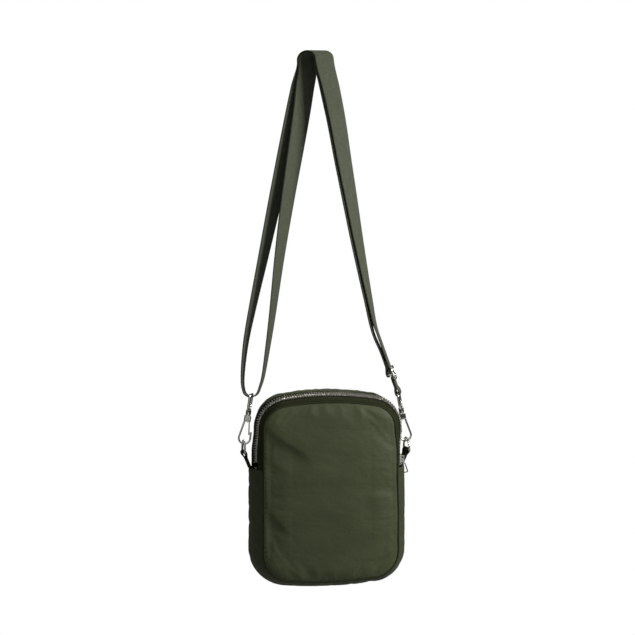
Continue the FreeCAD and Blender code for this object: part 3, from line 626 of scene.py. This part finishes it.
def panel(name, front, rise, belly, folds, slopes, node, look):
    """A front or back panel: pinned round its seam, billowed outwards, with soft folds."""
    verts, faces, pinned, aways = panel_sheet(front, rise, belly)
    shift = puckers_only(verts, settle(name, verts, faces, pinned, 2.0, 0.022, 3.2), aways)
    final = []
    for rest, away, settled in zip(verts, aways, shift):
        away = float(away)
        soft = 1 - math.exp(-away / 4.0)
        near = (rest.x, rest.z)
        lift = sum(crease(near, *f) for f in folds) + sum(slope(near, *f) for f in slopes)
        lift += 0.9 * noise.noise(Vector((rest.x * 0.018, rest.z * 0.034, 4.0 + front)))
        lift += 1.7 * math.exp(-away / 3.5) * noise.noise(Vector((rest.x * 0.17, rest.z * 0.17, 7.0)))
        puckers = (0.15 + 0.5 * math.exp(-(away / 16.0) ** 2)) * soft
        final.append(relax(rest + Vector(settled) * puckers + Y * (front * lift * soft)))
    obj = make(name, final, faces, look, thickness=0.7, subdivide=1)
    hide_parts(node)
    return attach(obj, "bag")


def lower_bulges(row, y):
    """How the lower gusset swells at the sides and draws in underneath."""
    n = 3.3 * max(row[2], 0.0) * math.exp(-((y + 14) / 9) ** 2) - 1.3 * max(-row[3], 0.0)
    return n + 1.3 * max(-row[2], 0.0) * math.exp(-((y - 8) / 14) ** 2)


def strip(name, rows, y0, y1, columns, profile, node, look, lift=0.0, cap=0.0, ripple=0.0,
          thickness=0.7, swell=0.0, lower=False):
    """A gusset strip between two depths, sewn along both edges. With a cap it settles as cloth, up to it."""
    verts, faces, pinned = [], grid_faces(len(rows), columns), []
    for i, row in enumerate(rows):
        for k in range(columns):
            y = y0 + (y1 - y0) * k / (columns - 1)
            shade = noise.noise(Vector((row[4] * 0.045, y * 0.06, 2.0)))
            fine = noise.noise(Vector((row[4] * 0.16, y * 0.05, 9.0)))
            middle = math.sin(math.pi * k / (columns - 1))
            n = profile(y) + lift + ripple * middle * (shade + 0.6 * fine)
            n += swell * max(row[3], 0.0) ** 2 * math.sin(math.pi * (k / (columns - 1)) ** 0.65)
            if lower:
                n += lower_bulges(row, y)
            verts.append(on_gusset(row, y, n))
            if k in (0, columns - 1) or i in (0, len(rows) - 1):
                pinned.append(i * columns + k)
    if cap:
        verts = settle(name, verts, faces, pinned, 1.5, 0.02, cap)
    if not lower:
        verts = [relax(Vector(v)) for v in verts]
    obj = make(name, verts, faces, look, thickness=thickness, subdivide=1, offset=0.0)
    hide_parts(node)
    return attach(obj, "bag")


def piping(name, y, node):
    """The rolled cord in a panel's seam, coloured much darker than the shell nylon as painted shade along the
    seam.
    """
    points, radii = [], []
    for x, z, nx, nz, s in [r for half in outline(1.6) for r in half[:-1]]:
        ripple = noise.noise(Vector((s * 0.35, y, 0.0)))
        n = 0.15 * noise.noise(Vector((s * 0.05, y, 5.0)))
        points.append(relax(Vector((x + nx * n, y, z + nz * n))))
        radii.append(1.15 + 0.1 * ripple)
    obj = tube(name, points, radii, piping_painted_shade_look, sides=12, closed=True)
    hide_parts(node)
    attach(obj, "bag")


def zip_stitches(name, y, lift, rows):
    """The row of stitches beside the zip, at one depth."""
    points = [relax(on_gusset(r, y, upper_n(y) + lift)) for r in rows[1:-1]]
    normals = [Vector((r[2], 0, r[3])) for r in rows[1:-1]]
    obj = stitches(name, points, normals, stitch_look, pitch=2.8, length=2.0, radius=0.16)
    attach(obj, "bag")


def shell():
    upper, lower = outline(2.6)
    panel("bag_front", -1, 3.2, 6.0, FRONT_FOLDS, FRONT_SLOPES, "front_panel", shell_look)
    panel("bag_back", 1, 2.6, 3.5, BACK_FOLDS, BACK_SLOPES, "back_panel", shell_look)
    # the lower gusset's colour carries painted shade
    strip("bag_lower_gusset", lower, -SEWN_Y, SEWN_Y, 22, lower_n, "lower_gusset", gusset_painted_shade_look,
          cap=0.7, ripple=0.15, lower=True)
    strip("bag_upper_gusset_back", upper, 2.6, SEWN_Y, 11, upper_n, "upper_gusset_back", shell_look,
          lift=0.75, cap=0.5, ripple=0.1, swell=2.6)
    strip("bag_upper_gusset_front", upper, -SEWN_Y, -20.5, 4, upper_n, "upper_gusset_front", band_look,
          lift=0.75, ripple=0.2)
    strip("zip_tape_front_cloth", upper, -23.0, ZIP_Y - TEETH_HALF, 6, upper_n, "zip_tape_front",
          zip_tape_look, ripple=0.15, thickness=0.6)
    strip("zip_tape_back_cloth", upper, ZIP_Y + TEETH_HALF, 4.5, 8, upper_n, "zip_tape_back",
          zip_tape_look, ripple=0.15, thickness=0.6)
    piping("piping_front_roll", -SEAM_Y, "front_piping")
    piping("piping_back_roll", SEAM_Y, "back_piping")
    zip_stitches("stitch_zip_front", -21.4, 1.25, upper)
    zip_stitches("stitch_zip_back", 3.8, 1.2, upper)


def islands(bm):
    """The connected groups of a mesh's vertices."""
    seen = set()
    for first in bm.verts:
        if first in seen:
            continue
        group, queue = [], [first]
        seen.add(first)
        while queue:
            v = queue.pop()
            group.append(v)
            for e in v.link_edges:
                other = e.other_vert(v)
                if other not in seen:
                    seen.add(other)
                    queue.append(other)
        yield group


def slant(bm, amount):
    """Narrows every tooth along the chain, leans it askew and tips the chain a little to the front."""
    rows = outline(2.0)[0]
    for group in islands(bm):
        centre = sum((v.co for v in group), Vector()) / len(group) / MM
        row = min(rows, key=lambda r: (r[0] - centre.x) ** 2 + (r[1] - centre.z) ** 2)
        along, outward = Vector((-row[3], 0, row[2])), Vector((row[2], 0, row[3]))
        tip = 0.34 * smooth((row[4] - 45) / 20)
        for v in group:
            d = v.co / MM - centre
            lift = outward * (tip * (centre.y + d.y - ZIP_Y))
            v.co = relax(centre + d + lift + along * (amount * d.y - 0.45 * d.dot(along))) * MM


def teeth():
    """The chain's teeth, softened at their edges and carried with the tape."""
    for name in ("zip_teeth_front", "zip_teeth_back"):
        cad = frame["nodes"][name]
        mesh = cad.data
        verts = [(cad.matrix_world @ v.co) / MM for v in mesh.vertices]
        obj = make(name + "_metal", verts, [tuple(f.vertices) for f in mesh.polygons], tooth_look, soft=False)
        bm = bmesh.new()
        bm.from_mesh(obj.data)
        bmesh.ops.remove_doubles(bm, verts=bm.verts, dist=0.00001)
        slant(bm, -0.42 if name.endswith("front") else 0.42)
        bmesh.ops.dissolve_limit(bm, angle_limit=0.02, verts=bm.verts, edges=bm.edges)
        bmesh.ops.bevel(bm, geom=bm.edges, offset=0.0002, segments=2, affect="EDGES", profile=0.5)
        bm.to_mesh(obj.data)
        bm.free()
        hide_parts(name)
        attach(obj, "bag")


# ---------------------------------------------------------------- strap: the same route as the fixed frame
def turned(angle):
    t = math.radians(angle)
    return Vector((math.cos(t), math.sin(t), 0))


PEG_TURN, PEG_RISE = 27.0, math.radians(7.0)
PEG_AXIS = turned(PEG_TURN) * math.cos(PEG_RISE) + Z * math.sin(PEG_RISE)
PEG_BACK = turned(PEG_TURN + 90)
PEG_UP = PEG_AXIS.cross(PEG_BACK)
PEG = Vector((-11.5, 0.0, 551.4))
OUTER_R, INNER_R = 8.9, 6.9  # the two layers' middles round the peg
FOLD_SLIDE = 5.0  # how far the layers slide along the peg, each way

EYE_BAR_Z = 51.5  # from a hook's foot to its eye's bar
EYE_WIRE = 1.2
LEFT_LEAN, LEFT_YAW, RIGHT_LEAN, RIGHT_YAW = 9.0, 13.0, 10.0, 18.0  # degrees
LOOP_R, LOOP_SPREAD = 8.0, 17.0
END_LEAN = 19.5  # degrees, the right end's lean
SEWN_END, SLIDE_LOW, SLIDE_HIGH, STRAIGHT_TOP = 18.0, 15.5, 28.5, 68.0  # heights above the right eye
STACK = 0.8  # half the distance between the sewn layers' middles
LEFT_TWIST, RIGHT_TWIST = 1.0, 0.85  # how early the webbing turns towards the peg
SLIDE_WIRE = 0.9

# where each run hangs: x and z
LEFT_OUTER = [(-88.0, 218.0), (-84.9, 252.0), (-79.0, 284.0), (-65.7, 346.0), (-53.3, 404.0),
              (-34.7, 488.0), (-27.3, 520.0)]
LEFT_INNER = [(-67.3, 218.0), (-61.7, 252.0), (-57.1, 284.0), (-49.2, 346.0), (-40.6, 404.0),
              (-26.8, 488.0), (-22.2, 520.0)]
RIGHT_FRONT = [(48.0, 299.0), (35.1, 362.0), (27.2, 404.0), (19.2, 446.0), (11.6, 488.0), (4.6, 520.0)]
RIGHT_REAR = [(51.5, 264.7), (44.3, 299.0), (31.7, 362.0), (24.0, 404.0), (16.3, 446.0), (8.9, 488.0),
              (2.2, 520.0)]


def route(points, start_slope, end_slope, z):
    """The hanging line's place and slope at a height."""
    last = len(points) - 1
    slopes = [start_slope / start_slope.z]
    slopes += [(points[i + 1] - points[i - 1]) / (points[i + 1].z - points[i - 1].z) for i in range(1, last)]
    slopes.append(end_slope / end_slope.z)
    i = max(k for k in range(last) if k == 0 or points[k].z <= z)
    p, q = points[i], points[i + 1]
    h = q.z - p.z
    t = (z - p.z) / h
    m, n = slopes[i] * h, slopes[i + 1] * h
    place = (p * (2 * t ** 3 - 3 * t ** 2 + 1) + m * (t ** 3 - 2 * t ** 2 + t) + q * (3 * t ** 2 - 2 * t ** 3)
             + n * (t ** 3 - t ** 2))
    slope = (p * (6 * t ** 2 - 6 * t) + m * (3 * t ** 2 - 4 * t + 1) + q * (6 * t - 6 * t ** 2)
             + n * (3 * t ** 2 - 2 * t)) / h
    return place, slope


def fold_frames(radius, count=25):
    """The half turn of one layer over the peg, from the right run to the left run."""
    frames = []
    for i in range(count):
        a = math.pi * i / (count - 1)
        out = PEG_UP * (radius * math.sin(a)) + PEG_AXIS * (FOLD_SLIDE * math.cos(a))
        p = PEG - PEG_BACK * (radius * math.cos(a)) + out
        frames.append((p, PEG_AXIS, PEG_UP * math.sin(a) - PEG_BACK * math.cos(a)))
    return frames


def run_frames(start, start_dir, via, end, start_width, twist_from, twist_power, count=70):
    """A hanging run from an end up to the peg, its width turning from start_width to the peg's axis."""
    rise = end.z - start.z
    middle = [Vector((x, start.y + (end.y - start.y) * (z - start.z) / rise, z)) for x, z in via]
    points = [start] + middle + [end]
    frames = []
    for i in range(count):
        z = start.z + rise * i / (count - 1)
        place, slope = route(points, start_dir, PEG_UP, z)
        t = slope.normalized()
        share = max(0.0, (z - twist_from) / (end.z - twist_from)) ** twist_power
        width = start_width * (1 - share) + PEG_AXIS * share
        across = (width - t * width.dot(t)).normalized()
        frames.append((place, across, t.cross(across)))
    return frames


def eye_place(side, lean, strap_yaw):
    """The middle of a swivel eye's bar and the bar's direction."""
    low, high = box_mm(("left" if side < 0 else "right") + "_d_ring")
    foot_z = high.z - RING_WIRE - RING_WIRE - 1.0 - 1.2
    foot = Vector(((low.x + high.x) / 2, (low.y + high.y) / 2, foot_z))
    t = math.radians(lean)
    up = Vector((-side * math.sin(t), 0, math.cos(t)))
    width = turned(90.0 - strap_yaw)
    across = (width - up * width.dot(up)).normalized()
    return foot + up * EYE_BAR_Z, across


def arc_frames(centre, a, b, c, radius, start, turn, count):
    """Frames round an arc in the a-b plane, its width along c."""
    frames = []
    for i in range(count):
        t = start + turn * i / (count - 1)
        out = a * math.cos(t) + b * math.sin(t)
        frames.append((centre + out * radius, c, out))
    return frames


def rounded_path(points, radii, steps=8):
    """Points in a plane, with tangent arcs at the corners."""
    path = [Vector(points[0])]
    for i in range(1, len(points) - 1):
        before, here, after = Vector(points[i - 1]), Vector(points[i]), Vector(points[i + 1])
        u, v = (before - here).normalized(), (after - here).normalized()
        half = math.acos(max(-1, min(1, u.dot(v)))) / 2
        reach = radii[i] / math.tan(half)
        centre = here + (u + v).normalized() * (radii[i] / math.sin(half))
        p, q = here + u * reach - centre, here + v * reach - centre
        start = math.atan2(p.y, p.x)
        turn = (math.atan2(q.y, q.x) - start + math.pi) % (2 * math.pi) - math.pi
        for k in range(steps + 1):
            a = start + turn * k / steps
            path.append(centre + Vector((math.cos(a), math.sin(a))) * radii[i])
    path.append(Vector(points[-1]))
    return path


def planar_frames(origin, a, b, c, path, spacing=2.5):
    """Frames along a path drawn in the a-b plane, its width along c."""
    dense = []
    for p, q in zip(path, path[1:]):
        count = max(1, int((q - p).length / spacing))
        dense += [p.lerp(q, k / count) for k in range(count)]
    dense.append(path[-1])
    keep = [dense[0]]
    for p in dense[1:]:
        if (p - keep[-1]).length > 0.05:
            keep.append(p)
    frames = []
    for i, p in enumerate(keep):
        t = (keep[min(i + 1, len(keep) - 1)] - keep[max(i - 1, 0)]).normalized()
        frames.append((origin + a * p.x + b * p.y, c, a * t.y - b * t.x))
    return frames


def aligned(frames, like):
    """Frames with their width and normal turned to agree with a neighbour's."""
    result = []
    for p, across, normal in frames:
        if across.dot(like[1]) < 0:
            across = -across
        if normal.dot(like[2]) < 0:
            normal = -normal
        like = (p, across, normal)
        result.append(like)
    return result


def joined(pieces):
    """One band of frames from consecutive pieces."""
    whole = []
    for part in pieces:
        whole += aligned(part, whole[-1] if whole else part[0])
    return whole


def left_frames(outer_end, inner_end):
    """The loop through the left eye, and the two runs up to the peg."""
    eye, width = eye_place(-1, LEFT_LEAN, LEFT_YAW)
    a = width.cross(Z).normalized()
    b = a.cross(width)
    centre = eye + b * (LOOP_R - EYE_WIRE - 0.25 - WEB_T / 2)
    spread = math.radians(LOOP_SPREAD)
    loop = arc_frames(centre, a, b, width, LOOP_R, math.pi + spread, math.pi - 2 * spread, 25)
    outwards = b * math.cos(spread) - a * math.sin(spread)
    inwards = b * math.cos(spread) + a * math.sin(spread)
    first, last = loop[0][0], loop[-1][0]
    outer = run_frames(first, outwards, LEFT_OUTER, outer_end, width, first.z, LEFT_TWIST)
    inner = run_frames(last, inwards, LEFT_INNER, inner_end, width, last.z, LEFT_TWIST)
    return loop, outer, inner


def right_axes(width):
    """The right end's directions: through the webbing, and up along it."""
    level = width.cross(Z).normalized()
    upright = level.cross(width)
    t = math.radians(END_LEAN)
    return level * math.cos(t) + upright * math.sin(t), upright * math.cos(t) - level * math.sin(t)


def right_end_path():
    """The sewn end: up behind, down round the eye's bar and on up in front."""
    turn = 2.15
    points = [(-STACK, SEWN_END + 0.8), (-STACK, 7.0), (-turn, 3.0), (-turn, -turn), (turn, -turn),
              (turn, 3.0), (STACK, 7.0), (STACK, STRAIGHT_TOP)]
    return rounded_path(points, [0, 6.0, 4.0, turn - 0.01, turn - 0.01, 4.0, 6.0, 0])


def adjuster_path():
    """The other end: down behind the slide, round its middle bar and back up."""
    behind = WEB_T / 2 + 0.25 + WEB_T + 0.15 + SLIDE_WIRE
    mid, turn = (SLIDE_LOW + SLIDE_HIGH) / 2, SLIDE_WIRE + 0.15 + WEB_T / 2
    near = turn - behind
    far = near - WEB_T - 0.1
    points = [(near, mid + 14.0), (near, mid - turn), (-behind - turn, mid - turn),
              (-behind - turn, mid + 2.0), (far, mid + 9.0), (far, SLIDE_HIGH + 16.0)]
    return rounded_path(points, [0, turn - 0.01, turn - 0.01, 4.0, 4.0, 0])


def end_stitches(origin, across, up, width):
    """Two rows of stitches across the sewn end, seen on both faces."""
    for row in (8.5, 13.5):
        for name, middle, out in (("stitch_end_%d", origin - across * (2 * STACK), -across),
                                  ("stitch_end_face_%d", origin, across)):
            places = [middle + up * row + width * w + out * 0.78 for w in np.linspace(-10.5, 10.5, 12)]
            obj = stitches(name % int(row), places, [out] * len(places), stitch_look, 2.4, 1.8, 0.17)
            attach(obj, "strap")


def strap():
    outer, inner = fold_frames(OUTER_R), fold_frames(INNER_R)
    loop, left_outer, left_inner = left_frames(outer[-1][0], inner[-1][0])
    eye, width = eye_place(1, RIGHT_LEAN, RIGHT_YAW)
    across, up = right_axes(width)
    origin = eye + across * STACK
    top = origin + up * STRAIGHT_TOP
    lower = planar_frames(eye, across, up, width, right_end_path())
    front = run_frames(top, up, RIGHT_FRONT, outer[0][0], width, top.z, RIGHT_TWIST)
    band = ribbon("strap_webbing", joined([lower, front[1:], outer[1:], left_outer[::-1][1:], loop[1:],
                                           left_inner[1:], inner[::-1][1:-1]]), WEB_W, WEB_T, web_look, 0.25)
    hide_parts("strap_right_end_loop", "strap_right_lower_run", "strap_right_front_run",
                "strap_top_fold", "strap_left_outer_run", "strap_left_eye_loop", "strap_left_inner_run")
    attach(band, "strap")

    end = planar_frames(origin, across, up, width, adjuster_path())
    rear_start = end[-1][0]
    rear = run_frames(rear_start, up, RIGHT_REAR, inner[0][0], width, top.z, RIGHT_TWIST)
    tail = ribbon("strap_webbing_rear", joined([end, rear[1:]]), WEB_W, WEB_T, web_look, 0.2)
    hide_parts("strap_right_rear_run", "adjuster_end_loop")
    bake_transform(tail)
    end_stitches(origin, across, up, width)


# ---------------------------------------------------------------- ring tabs
def ring_tab(side):
    """The folded tab that holds a D-ring, sewn in at the zip's end."""
    name = "left" if side < 0 else "right"
    ring_low, ring_high = box_mm(name + "_d_ring")
    bar = Vector(((ring_low.x + ring_high.x) / 2, 0, ring_low.z + RING_WIRE))
    foot = Vector((side * (SEAM_W + LOWER_BULGE + 1.0), 0, ZIP_END + 0.2))
    up = (bar - foot).normalized()
    out = up.cross(Y) * -side
    if out.x * side < 0:
        out = -out
    length = (bar - foot).length
    leg = 0.72  # half the distance between the legs' middles
    r = RING_WIRE + 0.3 + 0.65
    points = [(leg, -length), (leg, -5.5), (r, -1.5), (r, r), (-r, r), (-r, -1.5), (-leg, -5.5),
              (-leg, -length)]
    path = rounded_path(points, [0, 3.0, 3.0, r - 0.01, r - 0.01, 3.0, 3.0, 0])
    frames = planar_frames(bar, out, up, Y, path, 1.5)
    obj = ribbon(name + "_tab_cloth", frames, 14.0, 1.3, band_look)
    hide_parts(name + "_ring_tab")
    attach(obj, "bag")
    points = [bar - up * 7.0 + out * 1.62 + Y * w for w in np.linspace(-5.8, 5.8, 8)]
    obj = stitches(name + "_stitch_tab", points, [out] * len(points), stitch_look, 2.2, 1.7, 0.15)
    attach(obj, "bag")


# ---------------------------------------------------------------- carried-over hardware
def hardware():
    """Gives every piece that is carried over from the frame its material."""
    looks = {"polished_hardware": polished_look, "zip_metal": tooth_look, "spring_steel": spring_look,
             "lining_fabric": lining_look, "webbing": web_look, "zip_tape": zip_tape_look,
             "shell_fabric": shell_look, "piping_fabric": piping_painted_shade_look}
    slots = {p["node"]: p["material_slot"] for p in frame["record"]["subparts"]}
    for name, obj in frame["nodes"].items():
        obj.data.materials.clear()
        obj.data.materials.append(looks[slots[name]])


# ---------------------------------------------------------------- stage, lights and camera
def room():
    """A white backdrop for the camera, and a dimmer room with a bright ceiling for light and reflections."""
    world = bpy.data.worlds.new("studio")
    world.use_nodes = True
    tree = world.node_tree
    tree.nodes.clear()
    nodes = {name: tree.nodes.new("ShaderNode" + kind) for name, kind in (
        ("place", "TexCoord"), ("split", "SeparateXYZ"), ("span", "MapRange"), ("ramp", "ValToRGB"),
        ("white", "Background"), ("room", "Background"), ("path", "LightPath"), ("mix", "MixShader"),
        ("out", "OutputWorld"))}
    nodes["span"].inputs["From Min"].default_value = -1.0
    ramp = nodes["ramp"].color_ramp
    ramp.elements[0].position, ramp.elements[0].color = 0.0, (0.22, 0.22, 0.22, 1)
    ramp.elements[1].position, ramp.elements[1].color = 1.0, (0.85, 0.85, 0.85, 1)
    for at, value in ((0.40, 0.05), (0.55, 0.10), (0.72, 0.42)):
        ramp.elements.new(at).color = (value, value, value, 1)
    nodes["white"].inputs["Color"].default_value = (1, 1, 1, 1)
    nodes["room"].inputs["Strength"].default_value = 0.62
    link = tree.links.new
    link(nodes["place"].outputs["Generated"], nodes["split"].inputs[0])
    link(nodes["split"].outputs["Z"], nodes["span"].inputs["Value"])
    link(nodes["span"].outputs["Result"], nodes["ramp"].inputs["Fac"])
    link(nodes["ramp"].outputs["Color"], nodes["room"].inputs["Color"])
    link(nodes["path"].outputs["Is Camera Ray"], nodes["mix"].inputs[0])
    link(nodes["room"].outputs[0], nodes["mix"].inputs[1])
    link(nodes["white"].outputs[0], nodes["mix"].inputs[2])
    link(nodes["mix"].outputs[0], nodes["out"].inputs["Surface"])
    bpy.context.scene.world = world


def stage():
    """The pale floor, the studio round it and three soft lamps."""
    def plain(name, verts, glow):
        look = Look(name, (0.35, 0.35, 0.34), 0.9)
        path = look.node("ShaderNodeLightPath")
        light = look.node("ShaderNodeEmission", {"Color": (1, 1, 1, 1), "Strength": glow})
        mix = look.node("ShaderNodeMixShader")
        look.tree.links.new(path.outputs["Is Camera Ray"], mix.inputs[0])
        look.tree.links.new(look.shader.outputs[0], mix.inputs[1])
        look.tree.links.new(light.outputs[0], mix.inputs[2])
        look.tree.links.new(mix.outputs[0], look.tree.nodes["Material Output"].inputs["Surface"])
        mesh = bpy.data.meshes.new(name)
        mesh.from_pydata(verts, [], [(0, 1, 2, 3)])
        obj = bpy.data.objects.new(name, mesh)
        mesh.materials.append(look.material)
        bpy.context.scene.collection.objects.link(obj)

    half, low = 4.0, -0.32
    plain("floor", [(-half, -half, low), (half, -half, low), (half, half, low), (-half, half, low)], 1.0)
    room()

    def lamp(name, place, target, power, size):
        light = bpy.data.lights.new(name, "AREA")
        light.energy, light.size = power, size
        obj = bpy.data.objects.new(name, light)
        obj.location = place
        obj.rotation_euler = (Vector(target) - Vector(place)).to_track_quat("-Z", "Y").to_euler()
        bpy.context.scene.collection.objects.link(obj)

    lamp("key", (0.92, -0.52, 0.72), (0, 0, 0.15), 17.5, 0.45)
    lamp("fill", (-0.3, -1.6, 0.5), (0, 0, 0.2), 2.5, 1.0)
    lamp("rim", (0.5, 1.2, 0.9), (0, 0, 0.2), 2.6, 0.6)
    bpy.context.scene.view_settings.view_transform = "Standard"


VIEW_TURN = math.radians(11.0)  # the view is from a little left of the front
VIEW_DISTANCE, VIEW_HALF_WIDTH = 1.3, 0.33338  # metres; half of what the picture spans at the object
VIEW_CENTRE = (-0.009, 0.281)  # metres to the camera's right, and up


def place_camera():
    right = Vector((math.cos(VIEW_TURN), -math.sin(VIEW_TURN), 0))
    target = right * VIEW_CENTRE[0] + Z * VIEW_CENTRE[1]
    data = bpy.data.cameras.new("camera")
    data.sensor_width = 36.0
    data.lens = 36.0 / (2 * VIEW_HALF_WIDTH / VIEW_DISTANCE)
    camera = bpy.data.objects.new("camera", data)
    camera.location = target + Vector((-math.sin(VIEW_TURN), -math.cos(VIEW_TURN), 0)) * VIEW_DISTANCE
    camera.rotation_euler = (target - camera.location).to_track_quat("-Z", "Y").to_euler()
    bpy.context.scene.collection.objects.link(camera)
    bpy.context.scene.camera = camera


hardware()
shell()
teeth()
strap()
ring_tab(-1)
ring_tab(1)
stage()
place_camera()
